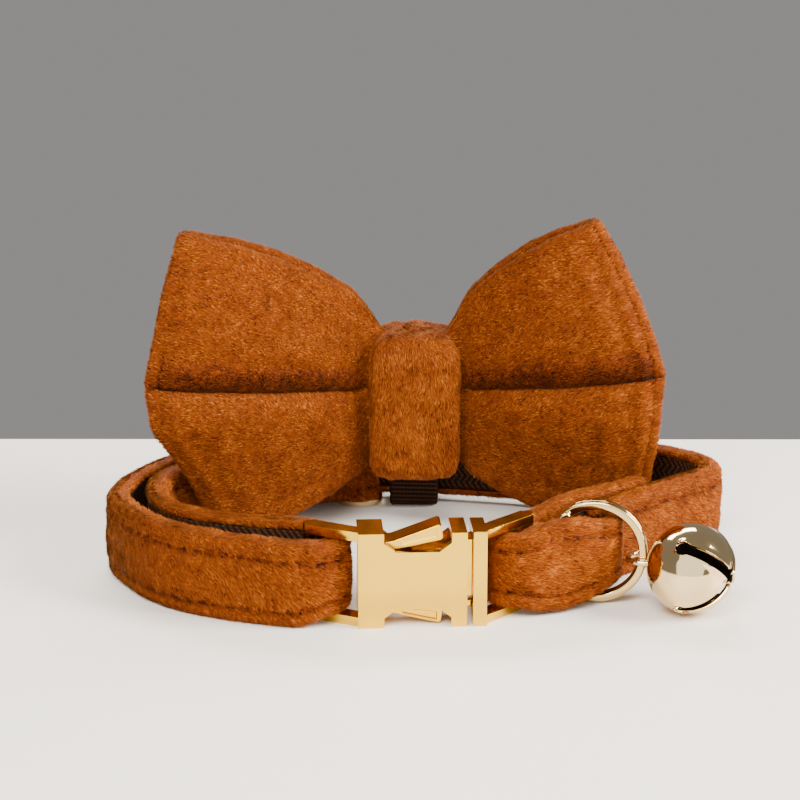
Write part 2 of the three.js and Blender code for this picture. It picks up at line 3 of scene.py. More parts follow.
import bmesh
import bpy
import numpy as np
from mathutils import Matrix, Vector


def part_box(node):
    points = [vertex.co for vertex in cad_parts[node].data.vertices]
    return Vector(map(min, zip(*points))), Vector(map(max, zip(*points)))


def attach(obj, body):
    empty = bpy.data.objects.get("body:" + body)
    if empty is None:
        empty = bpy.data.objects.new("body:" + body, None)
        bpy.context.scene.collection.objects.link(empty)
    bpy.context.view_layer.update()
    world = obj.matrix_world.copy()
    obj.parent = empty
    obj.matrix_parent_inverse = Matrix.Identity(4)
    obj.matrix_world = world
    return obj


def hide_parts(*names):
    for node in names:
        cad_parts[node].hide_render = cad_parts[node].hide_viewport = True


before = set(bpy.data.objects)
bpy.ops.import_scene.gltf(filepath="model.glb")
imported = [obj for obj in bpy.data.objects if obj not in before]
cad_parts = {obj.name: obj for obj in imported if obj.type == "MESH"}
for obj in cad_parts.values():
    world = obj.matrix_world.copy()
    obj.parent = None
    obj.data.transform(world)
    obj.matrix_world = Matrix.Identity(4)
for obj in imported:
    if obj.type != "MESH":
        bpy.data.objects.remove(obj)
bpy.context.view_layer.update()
print("frame loaded")

# Lengths below are in millimetres and are turned into metres when a mesh is made.
mm = 0.001
planShift = (-3.235, 1.204)  # from the plan tables to the middle of the collar
strapFace = 1.6              # from the middle of the strap to its plush face
webFace = 0.05               # from the strap's inner side to the face of the webbing
webThick = 1.2


# Camera and studio

cameraSetup = {"place": (-3.235, -313.8, 113.5), "tilt": 74.4, "lens": 92.475}
studio = {
    "tableEdge": 64.6,         # behind the collar
    "tableHalf": 3,            # metres
    "edgeSlant": 0.006,
    "table": (0.83, 0.745, 0.65),
    "tableRough": 0.55,
    "patchSize": 60,
    "patchDark": 0.97,
    "wall": (0.285, 0.275, 0.27),
    "wallLight": 1.0,
}
softboxes = [
    {"name": "keyBox", "place": (-90, -330, 380), "aim": (0, 0, 15), "size": (300, 240), "watts": 4.4},
    {"name": "rightBox", "place": (420, -120, 260), "aim": (0, 0, 15), "size": (220, 260), "watts": 7.5},
    {"name": "frontCard", "place": (-40, -640, 250), "aim": (0, 0, 10), "size": (1000, 760), "watts": 4.2},
    {"name": "backBox", "place": (-60, 330, 380), "aim": (0, 0, 30), "size": (420, 120), "watts": 3.5},
]


def newObject(name, data):
    item = bpy.data.objects.new(name, data)
    bpy.context.scene.collection.objects.link(item)
    return item


def makeCamera():
    data = bpy.data.cameras.new("photoCamera")
    data.lens = cameraSetup["lens"]
    data.sensor_width = 36
    data.clip_start = 0.01
    data.clip_end = 20
    camera = newObject("photoCamera", data)
    camera.location = Vector(cameraSetup["place"]) * mm
    camera.rotation_euler = (math.radians(cameraSetup["tilt"]), 0, 0)
    bpy.context.scene.camera = camera


def newMaterial(name, **sockets):
    material = bpy.data.materials.new(name)
    material.use_nodes = True
    shader = material.node_tree.nodes["Principled BSDF"]
    for socket, value in sockets.items():
        shader.inputs[socket.replace("_", " ")].default_value = value
    return material, material.node_tree, shader


def addNode(tree, kind, sockets=None, **settings):
    node = tree.nodes.new(kind)
    for name, value in settings.items():
        setattr(node, name, value)
    for name, value in (sockets or {}).items():
        node.inputs[name].default_value = value
    return node


def addRamp(tree, factor, stops):
    ramp = tree.nodes.new("ShaderNodeValToRGB")
    elements = ramp.color_ramp.elements
    elements[0].position, elements[0].color = stops[0][0], (*stops[0][1], 1)
    elements[1].position, elements[1].color = stops[-1][0], (*stops[-1][1], 1)
    for at, colour in stops[1:-1]:
        elements.new(at).color = (*colour, 1)
    tree.links.new(factor, ramp.inputs["Fac"])
    return ramp.outputs["Color"]


def addTint(tree, shader, factor, stops):
    tree.links.new(addRamp(tree, factor, stops), shader.inputs["Base Color"])


def addNoise(tree, size, detail=2.0, stretch=None, seed=0.0):
    # size is the width of one patch in millimetres, and stretch squeezes the patches along an axis
    coordinates = tree.nodes.new("ShaderNodeTexCoord").outputs["Object"]
    place = addNode(tree, "ShaderNodeMapping", {"Location": (seed, seed * 0.7, seed * 1.3)})
    if stretch:
        place.inputs["Scale"].default_value = stretch
    tree.links.new(coordinates, place.inputs["Vector"])
    noise = addNode(tree, "ShaderNodeTexNoise", {"Scale": 1000.0 / size, "Detail": detail})
    tree.links.new(place.outputs["Vector"], noise.inputs["Vector"])
    return noise.outputs["Fac"]


def addBump(tree, shader, height, strength, distance):
    bump = addNode(tree, "ShaderNodeBump", {"Strength": strength, "Distance": distance * mm})
    tree.links.new(height, bump.inputs["Height"])
    tree.links.new(bump.outputs["Normal"], shader.inputs["Normal"])


def makeStudio():
    material, tree, shader = newMaterial("paleTable", Roughness=studio["tableRough"])
    pale = studio["table"]
    patches = [(0.3, [c * studio["patchDark"] for c in pale]), (0.7, pale)]
    addTint(tree, shader, addNoise(tree, studio["patchSize"], 3), patches)
    edge, slant, half = studio["tableEdge"] * mm, studio["edgeSlant"], studio["tableHalf"]
    corners = [(-half, -half, 0), (half, -half, 0), (half, edge - slant, 0), (-half, edge + slant, 0)]
    table = meshObject("table", corners, [(0, 1, 2, 3)], material, scale=1, smooth=False)
    world = bpy.data.worlds.new("greyWall")
    world.use_nodes = True
    background = world.node_tree.nodes["Background"]
    background.inputs["Color"].default_value = (*studio["wall"], 1)
    background.inputs["Strength"].default_value = studio["wallLight"]
    bpy.context.scene.world = world
    for box in softboxes:
        data = bpy.data.lights.new(box["name"], "AREA")
        data.shape = "RECTANGLE"
        data.size, data.size_y = box["size"][0] * mm, box["size"][1] * mm
        data.energy = box["watts"]
        light = newObject(box["name"], data)
        light.location = Vector(box["place"]) * mm
        aim = Vector(box["aim"]) - Vector(box["place"])
        light.rotation_euler = aim.to_track_quat("-Z", "Y").to_euler()
        light.visible_camera = False


# Mesh helpers

def meshObject(name, points, faces, material, scale=mm, smooth=True):
    mesh = bpy.data.meshes.new(name)
    points = np.asarray(points, float).reshape(-1, 3) * scale
    mesh.from_pydata(points.tolist(), [], [tuple(int(i) for i in face) for face in faces])
    mesh.polygons.foreach_set("use_smooth", [smooth] * len(mesh.polygons))
    mesh.materials.append(material)
    item = newObject(name, mesh)
    bm = bmesh.new()
    bm.from_mesh(mesh)
    bmesh.ops.recalc_face_normals(bm, faces=bm.faces)
    bm.to_mesh(mesh)
    bm.free()
    return item


def unit(vectors, least=0):
    return vectors / (np.linalg.norm(vectors, axis=-1)[..., None] + least)


def markPoints(mesh, name, values):
    # a number on each vertex, for a material to read
    values = np.asarray(values, np.float32).ravel()
    mesh.attributes.new(name, "FLOAT", "POINT").data.foreach_set("value", values)


noiseCells = 32      # after this many cells the noise repeats
noiseStart = 1000    # keeps every point on the positive side


def softNoise(points, size, seed):
    # smooth value noise from 0 to 1 at points in millimetres
    lattice = np.random.default_rng(seed).random((noiseCells,) * 3)
    at = np.asarray(points, float) / size + noiseStart
    cell = np.floor(at).astype(int)
    part = at - cell
    part = part * part * (3 - 2 * part)
    total = 0
    for corner in range(8):
        step = np.array([corner >> 2 & 1, corner >> 1 & 1, corner & 1])
        weight = np.prod(np.where(step, part, 1 - part), axis=-1)
        index = (cell + step) % noiseCells
        total = total + weight * lattice[index[..., 0], index[..., 1], index[..., 2]]
    return total


def catmullRom(rows, perSpan):
    # the centripetal curve through the plan rows (x, y, low, high), with the edges between rows
    rows = np.asarray(rows, float)
    points = rows[:, :2]
    ends = np.vstack([2 * points[0] - points[1], points, 2 * points[-1] - points[-2]])
    result = []
    for i in range(len(points) - 1):
        p0, p1, p2, p3 = ends[i:i + 4]
        d0, d1, d2 = [max(np.linalg.norm(b - a), 1e-4) ** 0.5 for a, b in ((p0, p1), (p1, p2), (p2, p3))]
        m1 = ((p1 - p0) / d0 - (p2 - p0) / (d0 + d1) + (p2 - p1) / d1) * d1
        m2 = ((p2 - p1) / d1 - (p3 - p1) / (d1 + d2) + (p3 - p2) / d2) * d1
        for step in range(perSpan + (i == len(points) - 2)):
            t = step / perSpan
            square, cube = 3 * (p2 - p1) - 2 * m1 - m2, 2 * (p1 - p2) + m1 + m2
            place = p1 + m1 * t + square * t ** 2 + cube * t ** 3
            edges = rows[i, 2:] * (1 - t) + rows[i + 1, 2:] * t
            result.append([*place, *edges])
    return np.array(result)


planSteps = 24    # points on the curve between two plan rows


def strapStations(rows, spacing):
    # even stations along a plan: place, outward side, both edges and the distance from the start
    fine = catmullRom(rows, planSteps)
    fine[:, :2] += planShift
    walk = np.concatenate([[0], np.cumsum(np.linalg.norm(np.diff(fine[:, :2], axis=0), axis=1))])
    along = np.linspace(0, walk[-1], int(walk[-1] / spacing) + 1)
    x, y, low, high = [np.interp(along, walk, fine[:, k]) for k in range(4)]
    tangent = unit(np.gradient(np.stack([x, y], 1), axis=0))
    outward = np.stack([tangent[:, 1], -tangent[:, 0]], 1)
    return {"place": np.stack([x, y], 1), "outward": outward, "low": low, "high": high, "along": along}


def sweep(stations, out, share, up):
    # out, share and up are (stations, section) or (section): distance from the middle, share of the
    # way from the low to the high edge, and the height added to it
    out, share, up = [np.broadcast_to(v, (len(stations["low"]), len(share))) for v in (out, share, up)]
    height = stations["low"][:, None] + share * (stations["high"] - stations["low"])[:, None] + up
    flat = stations["place"][:, None, :] + stations["outward"][:, None, :] * out[..., None]
    return np.concatenate([flat, height[..., None]], axis=2)


def tubeFaces(rings, section, capped=True, closed=False):
    faces = []
    last = rings if closed else rings - 1
    for i in range(last):
        a, b = i * section, (i + 1) % rings * section
        for j in range(section):
            k = (j + 1) % section
            faces.append((a + j, a + k, b + k, b + j))
    if capped and not closed:
        faces.append(tuple(range(section)))
        faces.append(tuple((rings - 1) * section + j for j in range(section)))
    return faces


def arc(centre, radius, start, end, count):
    turn = np.radians(np.linspace(start, end, count))
    return [(centre[0] + radius * math.cos(a), centre[1] + radius * math.sin(a)) for a in turn]


# Plush: a cloth base with a short pile on it

plushLook = {
    # deep is the colour that the painted shade of creases and seams darkens the plush to
    "deep": (0.006, 0.001, 0.0002),
    "dark": (0.085, 0.013, 0.0007),
    "mid": (0.185, 0.035, 0.0016),
    "light": (0.300, 0.070, 0.0045),
    # tip, the lightest, is reached mostly through the painted highlight on the fibres' tips
    "tip": (0.500, 0.150, 0.017),
    "sheen": (1.0, 0.42, 0.10, 1),
    "patches": 0.25,       # how much lighter the lightest patches are
}
pileLook = {
    "swirlSize": 1.1,      # small eddies in the nap
    "swirl": 0.8,
    "driftSize": 6.0,      # brushed areas
    "drift": 0.5,
    "scatter": 0.12,
    "riseSize": 0.9,       # tufts that stand up more
    "riseScatter": 0.04,
    "crushed": 0.6,        # how much shorter it is deep in a crease
    "sunk": 0.04,          # roots start inside the cloth
    "aboveTable": 0.03,
    "streakSize": 0.36,
    "streakLong": 0.5,
    "tuftSize": 1.6,
    "tuftShade": 0.3,
    "shade": 0.33,
    "streakShade": 0.80,
    "fibreShade": 0.3,
    # painted light on each fibre: roots darker as painted shade between fibres, tips lighter as painted
    # highlight
    "rootDark": 0.2,
    "tipLight": 0.22,
    "facing": 0.2,         # how unevenly the fibres catch the light
    "facingBack": 0.1,
    "facingSwirl": 0.35,
}
pileRise = 0.3             # how far it leans off the cloth


def plushMaterials(name, lift, seed):
    # lift is how light the plush is on this piece, and seed moves its patches; the pieces are one
    # fabric, so their different lifts are painted light and shade
    tone = {key: [c * lift for c in plushLook[key]] for key in ("deep", "dark", "mid", "light", "tip")}
    sheen = plushLook["sheen"]
    cloth, tree, shader = newMaterial(name + "Cloth", Roughness=0.95, Sheen_Weight=0.15, Sheen_Roughness=0.45,
                                      Sheen_Tint=sheen, Specular_IOR_Level=0.05)
    # painted shade: the fold attribute darkens the cloth in creases and seams
    paintedFoldShade = addNode(tree, "ShaderNodeAttribute", attribute_name="fold").outputs["Fac"]
    mixed = addNode(tree, "ShaderNodeMath", operation="SUBTRACT")
    tree.links.new(addNoise(tree, 0.9, 3, seed=seed), mixed.inputs[0])
    tree.links.new(paintedFoldShade, mixed.inputs[1])
    addTint(tree, shader, mixed.outputs[0], [(0, tone["deep"]), (0.3, tone["dark"]), (0.6, tone["mid"])])
    addBump(tree, shader, addNoise(tree, 0.7, 3, seed=seed), 0.6, 0.4)

    pile, tree, shader = newMaterial(name + "Pile", Roughness=0.7, Sheen_Weight=0.28, Sheen_Roughness=0.25,
                                     Sheen_Tint=sheen, Specular_IOR_Level=0.08)
    fibre = addNode(tree, "ShaderNodeAttribute", attribute_name="fibreShade").outputs["Fac"]
    mixed = addNode(tree, "ShaderNodeMath", {1: plushLook["patches"]}, operation="MULTIPLY_ADD")
    tree.links.new(addNoise(tree, 6, 2, seed=seed + 0.3), mixed.inputs[0])
    tree.links.new(fibre, mixed.inputs[2])
    addTint(tree, shader, mixed.outputs[0], [(0, tone["deep"]), (0.15, tone["dark"]), (0.48, tone["mid"]),
                                             (0.72, tone["light"]), (0.98, tone["tip"])])
    return cloth, pile


def readThrees(items, key, kind=float):
    values = np.zeros(len(items) * 3, kind)
    items.foreach_get(key, values)
    return values.reshape(-1, 3)


def evenNap(way):
    # a nap that is brushed the same way all over
    return lambda root, normal: np.array(way) + 0 * root


def growPile(name, cloth, material, look, nap, seed, keep=None, fold=None):
    # one tapered triangle for each tuft of fibres, laid along the nap and leaning off the cloth;
    # keep is the share of them that stays at a spot, and fold, from 0 to 1 on each vertex of the
    # cloth, shortens the pile in creases and seams and darkens it there as painted shade
    shape, count = pileLook, look["pile"]
    rng = np.random.default_rng(seed)
    mesh = cloth.data
    mesh.calc_loop_triangles()
    corners = readThrees(mesh.loop_triangles, "vertices", int)
    points = readThrees(mesh.vertices, "co") / mm
    normals = readThrees(mesh.vertices, "normal")
    a, b, c = (points[corners[:, k]] for k in range(3))
    share = np.linalg.norm(np.cross(b - a, c - a), axis=1)
    middle = (a + b + c) / 3
    if keep is not None:
        share = share * keep(middle, normals[corners].mean(1), corners)
    pick = rng.choice(len(corners), count, p=share / share.sum())
    u, v = rng.random(count), rng.random(count)
    flip = u + v > 1
    u, v = np.where(flip, 1 - u, u), np.where(flip, 1 - v, v)
    mix = np.stack([1 - u - v, u, v], 1)[..., None]
    root = (points[corners[pick]] * mix).sum(1)
    normal = unit((normals[corners[pick]] * mix).sum(1))

    lay = nap(root, normal)
    swirl = np.stack([softNoise(root, shape["swirlSize"], seed + k) - 0.5 for k in (1, 2, 3)], 1)
    drift = np.stack([softNoise(root, shape["driftSize"], seed + k) - 0.5 for k in (4, 5, 6)], 1)
    lay = lay + swirl * shape["swirl"] + drift * shape["drift"] + rng.normal(0, shape["scatter"], (count, 3))
    lay = unit(lay - normal * (lay * normal).sum(1)[:, None], 1e-9)
    side = np.cross(normal, lay)
    standing = 0.6 + 0.8 * softNoise(root, shape["riseSize"], seed + 7)
    lean = pileRise * standing + rng.normal(0, shape["riseScatter"], count)
    reach = look["pileLong"] * (0.65 + 0.7 * rng.random(count))
    if fold is not None:
        deep = (fold[corners[pick]] * mix[..., 0]).sum(1)
        reach = reach * (1 - shape["crushed"] * np.clip(deep, 0, 1))
    way = lay * np.sqrt(np.clip(1 - lean ** 2, 0.1, 1))[:, None] + normal * lean[:, None]
    half = side * (look["pileWide"] * (0.35 + 0.3 * rng.random(count)))[:, None]
    base = root - normal * shape["sunk"]
    verts = np.stack([base + half, base - half, root + way * reach[:, None]], 1).reshape(-1, 3)
    verts[:, 2] = np.maximum(verts[:, 2], shape["aboveTable"])
    streak = root - lay * (root * lay).sum(1)[:, None] * shape["streakLong"]
    tuft = softNoise(streak, shape["streakSize"], seed + 8) - 0.5
    tuft = tuft + shape["tuftShade"] * (softNoise(root, shape["tuftSize"], seed + 9) - 0.5)
    shade = shape["shade"] + shape["streakShade"] * tuft + shape["fibreShade"] * (rng.random(count) - 0.5)
    # painted shade: the pile is darker in creases and seams
    if fold is not None:
        shade = shade - deep
    # painted shade at the roots and painted highlight at the tips
    rootShade = shade - shape["rootDark"]
    shades = np.stack([rootShade, rootShade, shade + shape["tipLight"]], 1)

    fibres = bpy.data.meshes.new(name)
    fibres.vertices.add(count * 3)
    fibres.vertices.foreach_set("co", (verts * mm).ravel())
    fibres.loops.add(count * 3)
    fibres.loops.foreach_set("vertex_index", np.arange(count * 3))
    fibres.polygons.add(count)
    fibres.polygons.foreach_set("loop_start", np.arange(count) * 3)
    fibres.update(calc_edges=True)
    markPoints(fibres, "fibreShade", shades)
    facing = normal + shape["facing"] * (rng.random((count, 3)) - 0.5)
    facing = unit(facing - lay * shape["facingBack"] + swirl * shape["facingSwirl"])
    fibres.normals_split_custom_set_from_vertices(np.repeat(facing, 3, axis=0))
    fibres.materials.append(material)
    return newObject(name, fibres)


# Strap: plush turned over the edges of a woven band

strapPlan = [
    (28.6, -15.3, 0, 13), (33.6, -10.9, 0, 13), (38.6, -6.4, 0, 13), (45.2, -0.6, 0, 13), (49.5, 3.2, 0, 13),
    (50.8, 6.6, 0, 13), (49.0, 11.2, 0, 13), (44.4, 14.7, 0.2, 13.2), (35.0, 19.3, 0.8, 13.8),
    (22.0, 23.7, 1.4, 14.4), (8.0, 26.9, 1.4, 14.4), (-5.4, 28.3, 1.4, 14.4), (-16.0, 25.3, 0.9, 13.9),
    (-26.0, 20.1, 0.3, 13.3), (-34.4, 13.9, 0, 13), (-39.2, 7.9, 0, 13), (-42.0, 2.6, 0, 13),
    (-43.9, -3.6, 0, 13), (-44.2, -9.0, 0, 13), (-42.0, -14.2, 0, 13), (-37.2, -21.4, 0, 13),
    (-32.2, -25.7, 0, 13), (-26.2, -28.7, 0, 13), (-20.2, -30.8, 0, 13), (-14.6, -32.2, 0.2, 13),
    (-11.2, -31.7, 1.7, 12.9), (-9.2, -29.4, 1.7, 12.9), (-9.3, -26.2, 1.7, 12.9), (-11.4, -23.6, 1.7, 12.9),
    (-15.4, -22.2, 0.4, 13), (-23.0, -20.4, 0, 13), (-30.4, -17.8, 0, 13), (-34.9, -14.5, 0, 13),
    (-37.6, -9.6, 0, 13), (-38.5, -4.0, 0, 13), (-37.9, 1.0, 0, 13), (-35.4, 6.4, 0, 13),
    (-31.0, 11.9, 0, 13), (-23.6, 17.2, 0.4, 13.4), (-15.2, 21.4, 1.2, 14.2), (-10.6, 23.0, 1.4, 14.4),
    (-7.4, 22.2, 1.4, 14.4), (-4.6, 23.6, 1.4, 14.4),
]
tabPlan = [
    (38.2, -2.2, 0.6, 13.4), (33.5, -6.3, 0.6, 13.6), (28.4, -10.8, 0.6, 14.0), (24.4, -14.6, 0.6, 14.2),
    (21.0, -17.9, 1.2, 13.4), (17.6, -20.3, 1.7, 12.9), (14.8, -22.0, 1.7, 12.9), (13.9, -24.6, 1.7, 12.9),
    (14.7, -27.2, 1.7, 12.9), (17.4, -28.6, 1.7, 12.9), (20.6, -28.0, 0.9, 14.2), (24.0, -26.6, 0.6, 14.6),
    (27.4, -25.0, 1.3, 14.3), (30.2, -23.2, 2.3, 13.4), (32.2, -20.8, 2.9, 12.9), (32.6, -17.9, 2.6, 12.9),
    (31.7, -15.9, 2.4, 12.9),
]
strapLook = {
    "station": 0.5,
    "crown": 0.22,         # the plush bulges between its two seams
    "seamIn": 1.9,         # the seams' distance from the edges
    "seamWide": 0.34,
    "stitchPitch": 2.3,
    "edgeRound": 1.0,
    "lip": ((1.5, 0.9), (0.25, 1.0), (0.0, 0.85), (-0.05, 0.5)),   # outward from the inner face, and up
    "lipRound": 0.45,
    "waves": 0.20,
    "ripple": 0.24,        # unevenness of the upper edge
    "rippleSize": 3.5,
    "pile": 150000,
    "pileLong": 0.75,
    "pileWide": 0.17,
}
tabLook = {
    "station": 0.4,
    "half": 1.2,
    "tall": 13,
    "crown": 0.12,
    "seamIn": 2.1,
    "seamWide": 0.32,
    "stitchPitch": 2.1,
    "edgeRound": 0.7,
    "waves": 0.22,
    "backRelief": 0.6,     # how much flatter the back is
    "ripple": 0.4,
    "rippleSize": 3.2,
    "pile": 62000,
    "pileLong": 0.75,
    "pileWide": 0.15,
}
faceSteps = 30           # points across the plush face
waveSizes = (5.0, 2.2)
seamDeep = 0.42
seamDark = 0.45          # painted shade of the pile in a seam
stitchShare = 0.66       # of the pitch
upperSeamShift = 0.8     # the upper seam's stitches start this much earlier
betweenStitches = 0.35   # depth of a seam between two stitches, as a share of its depth under one


def seamDip(look, along, fromEdge):
    # depth of the seam's channel: deepest under each stitch
    beat = (along / look["stitchPitch"]) % 1.0
    under = np.clip(np.sin(np.pi * np.clip(beat / stitchShare, 0, 1)) * 2.2, 0, 1)
    channel = np.exp(-(((fromEdge - look["seamIn"]) / look["seamWide"]) ** 2))
    return seamDeep * channel * (betweenStitches + (1 - betweenStitches) * under)


def faceSpots(look, stations, across):
    # places on the plush face, along the strap (rows) and across it (0 low to 1 high), and the
    # depth of both seams there
    tall = (stations["high"] - stations["low"])[:, None]
    along = stations["along"][:, None]
    dip = seamDip(look, along, across * tall) + seamDip(look, along + upperSeamShift, (1 - across) * tall)
    return np.stack([along + 0 * across, across * tall, 0 * along + 0 * across], -1), dip


def faceRelief(look, stations, across, seed):
    # how far the plush face stands out
    crown = look["crown"] * (1 - np.abs(across * 2 - 1) ** 3)
    spots, dip = faceSpots(look, stations, across)
    swell = softNoise(spots, waveSizes[0], seed) + 0.5 * softNoise(spots, waveSizes[1], seed + 1)
    waves = look["waves"] * (swell - 0.75) * 2
    return crown - dip + waves * np.clip(np.minimum(across, 1 - across) * 8, 0, 1)


def markSeams(item, look, stations, across, front, sides):
    # painted shade in the two seams, which also shortens the pile there, for each vertex of a mesh
    # whose face is the slice front
    fold = np.zeros((len(stations["low"]), sides))
    fold[:, front] = faceSpots(look, stations, across)[1] / seamDeep * seamDark
    markPoints(item.data, "fold", fold)
    return fold.ravel()


def buildStrapPlush():
    look = strapLook
    stations = strapStations(strapPlan, look["station"])
    r, lip = look["edgeRound"], look["lipRound"]
    lower = [(out - strapFace, up) for out, up in look["lip"]]
    lower += arc((lip - strapFace, lip), lip, 200, 262, 4)
    lower += arc((strapFace - r, r), r, -84, -6, 6)
    upper = [(out, -up) for out, up in reversed(lower)]
    across = np.linspace(0, 1, faceSteps)
    facing = [(strapFace, 0.0)] * len(across)
    out = np.array([p[0] for p in lower + facing + upper])
    share = np.concatenate([np.zeros(len(lower)), across, np.ones(len(upper))])
    rise = r * (1 - 2 * across)
    up = np.concatenate([[p[1] for p in lower], rise, [p[1] for p in upper]])
    out = np.tile(out, (len(stations["low"]), 1))
    tall = np.mean(stations["high"] - stations["low"])
    front = slice(len(lower), len(lower) + len(across))
    out[:, front] += faceRelief(look, stations, across[None] + rise[None] / tall, 11)
    points = sweep(stations, out, share, up)
    ripple = softNoise(points, look["rippleSize"], 17) - 0.5
    points[..., 2] += look["ripple"] * ripple * (share > 0.5)
    # the strap's lift is painted light and shade on the one plush fabric
    cloth, pile = plushMaterials("strapPlush", 0.90, 1.0)
    item = meshObject("strapPlush", points, tubeFaces(len(points), len(share)), cloth)

    # painted shade in the strap's seams
    fold = markSeams(item, look, stations, across, front, len(share))
    centre, outward = stations["place"], stations["outward"]

    def keep(middle, normal, corners):
        # bare where the webbing covers it, and thinner in the seams
        coarse = 4
        gaps = ((middle[:, None, :2] - centre[None, ::coarse]) ** 2).sum(2)
        at = np.argmin(gaps, axis=1) * coarse
        side = ((middle[:, :2] - centre[at]) * outward[at]).sum(1)
        fromEdge = np.minimum(middle[:, 2] - stations["low"][at], stations["high"][at] - middle[:, 2])
        hidden = (side < strapFace - 0.3) & (fromEdge > 0.7) & (side > -strapFace + 0.08)
        seam = seamDip(look, stations["along"][at], fromEdge) > 0.22
        return np.where(hidden, 0.0, np.where(seam & (side > 1), 0.25, 1.0))

    def nap(root, normal):
        tangent = np.stack([-normal[:, 1], normal[:, 0], 0 * normal[:, 0]], 1)
        return unit(tangent, 1e-6) * 0.8 + np.array([0, 0, -0.5])

    hairs = growPile("strapPile", item, pile, look, nap, 21, keep, fold)
    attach(item, "collar")
    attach(hairs, "collar")
    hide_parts("strap_cover")
    return stations


def buildTab():
    look = tabLook
    stations = strapStations(tabPlan, look["station"])
    half, r = look["half"], look["edgeRound"]
    across = np.linspace(0, 1, faceSteps)
    rise = r * (1 - 2 * across)
    low = arc((half - r, r), r, -90, -8, 5)
    low = [(-out, up) for out, up in reversed(low)] + low
    high = [(out, -up) for out, up in reversed(low)]
    out = np.array([p[0] for p in low] + [half] * faceSteps + [p[0] for p in high] + [-half] * faceSteps)
    share = np.concatenate([np.zeros(len(low)), across, np.ones(len(high)), across[::-1]])
    up = np.concatenate([[p[1] for p in low], rise, [p[1] for p in high], rise[::-1]])
    out = np.tile(out, (len(stations["low"]), 1))
    relief = faceRelief(look, stations, across[None] + rise[None] / look["tall"], 31)
    front = slice(len(low), len(low) + faceSteps)
    out[:, front] += relief
    out[:, -faceSteps:] -= relief[:, ::-1] * look["backRelief"]
    points = sweep(stations, out, share, up)
    points[..., 2] += look["ripple"] * (softNoise(points, look["rippleSize"], 37) - 0.5) * (share > 0.5)
    # the tab's lift is painted light and shade on the one plush fabric
    cloth, pile = plushMaterials("tabPlush", 0.95, 2.0)
    item = meshObject("ringTab", points, tubeFaces(len(points), len(share)), cloth)

    # painted shade in the tab's seams
    fold = markSeams(item, look, stations, across, front, len(share))
    hairs = growPile("tabPile", item, pile, look, evenNap((0.9, 0.25, -0.15)), 41, fold=fold)
    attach(item, "collar")
    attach(hairs, "collar")
    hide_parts("ring_tab")
    return stations


webLook = {
    "station": 0.17,
    "rib": 1.05,             # one rib of the weave along the band
    "deep": 0.16,
    "zigzag": 2.3,           # width of one zigzag
    "acrossSteps": 40,
    "wide": 10.4,
    "inset": 1.3,            # from the strap's edges
    "dark": (0.006, 0.002, 0.001),
    "mid": (0.022, 0.007, 0.002),
    "light": (0.060, 0.021, 0.005),
}


def weaveMaterial(name, look):
    material, tree, shader = newMaterial(name, Roughness=0.8, Specular_IOR_Level=0.12)
    # painted light and shade of the weave: the colour is lighter where the weave is raised and darker where
    # it is sunk
    height = addNode(tree, "ShaderNodeAttribute", attribute_name="weave").outputs["Fac"]
    blend = addNode(tree, "ShaderNodeMath", {1: 0.35}, operation="MULTIPLY_ADD")
    tree.links.new(addNoise(tree, 0.35, 3), blend.inputs[0])
    tree.links.new(height, blend.inputs[2])
    stops = [(0.25, look["dark"]), (0.75, look["mid"]), (1.2, look["light"])]
    addTint(tree, shader, blend.outputs[0], stops)
    addBump(tree, shader, addNoise(tree, 0.16, 2, (1, 1, 0.35)), 0.5, 0.08)
    return material


strandWide = 0.58


def zigzagWeave(look, along, across):
    # height of the weave from 0 to 1, at distances along and across the band
    swing = np.abs((across / look["zigzag"]) % 1.0 - 0.5) * 2
    ribs = 0.5 + 0.5 * np.cos(2 * np.pi * (along / look["rib"] + 0.9 * swing))
    strands = 0.5 + 0.5 * np.cos(2 * np.pi * across / strandWide)
    return ribs ** 0.7 * (0.7 + 0.3 * strands)


def buildWebbing():
    look = webLook
    stations = strapStations(strapPlan, look["station"])
    steps, inset = look["acrossSteps"], look["inset"]
    across = np.linspace(0, 1, steps)
    rise = inset * (1 - 2 * across)
    out = np.concatenate([np.full(steps, webFace - strapFace), [webThick - strapFace] * 2])
    share = np.concatenate([across, [1, 0]])
    up = np.concatenate([rise, [-inset, inset]])
    weave = zigzagWeave(look, stations["along"][:, None], across[None] * look["wide"])
    out = np.tile(out, (len(stations["low"]), 1))
    fade = np.minimum(1, np.minimum(across, 1 - across) * 12)   # smooth at the edges
    out[:, :steps] -= look["deep"] * (weave - 0.5) * fade[None]
    points = sweep(stations, out, share, up)
    item = meshObject("strapWebbing", points, tubeFaces(len(points), len(share)),
                      weaveMaterial("darkWebbing", look))
    # the weave's height, which the material turns into painted shade in its hollows and painted light on its
    # ribs
    height = np.zeros(points.shape[:2])
    height[:, :steps] = weave
    markPoints(item.data, "weave", height)
    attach(item, "collar")
    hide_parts("strap_webbing")


# Stitches: short threads sunk in the seams

# the thread's colour is darker than the plush as painted shade of the seam channels; dark and light spread it
# at random
stitchLook = {"radius": 0.13, "sink": 0.20, "arch": 0.35, "rings": 7, "around": 6, "tip": 0.12,
              "colour": (0.120, 0.026, 0.002), "dark": 0.55, "light": 1.3}


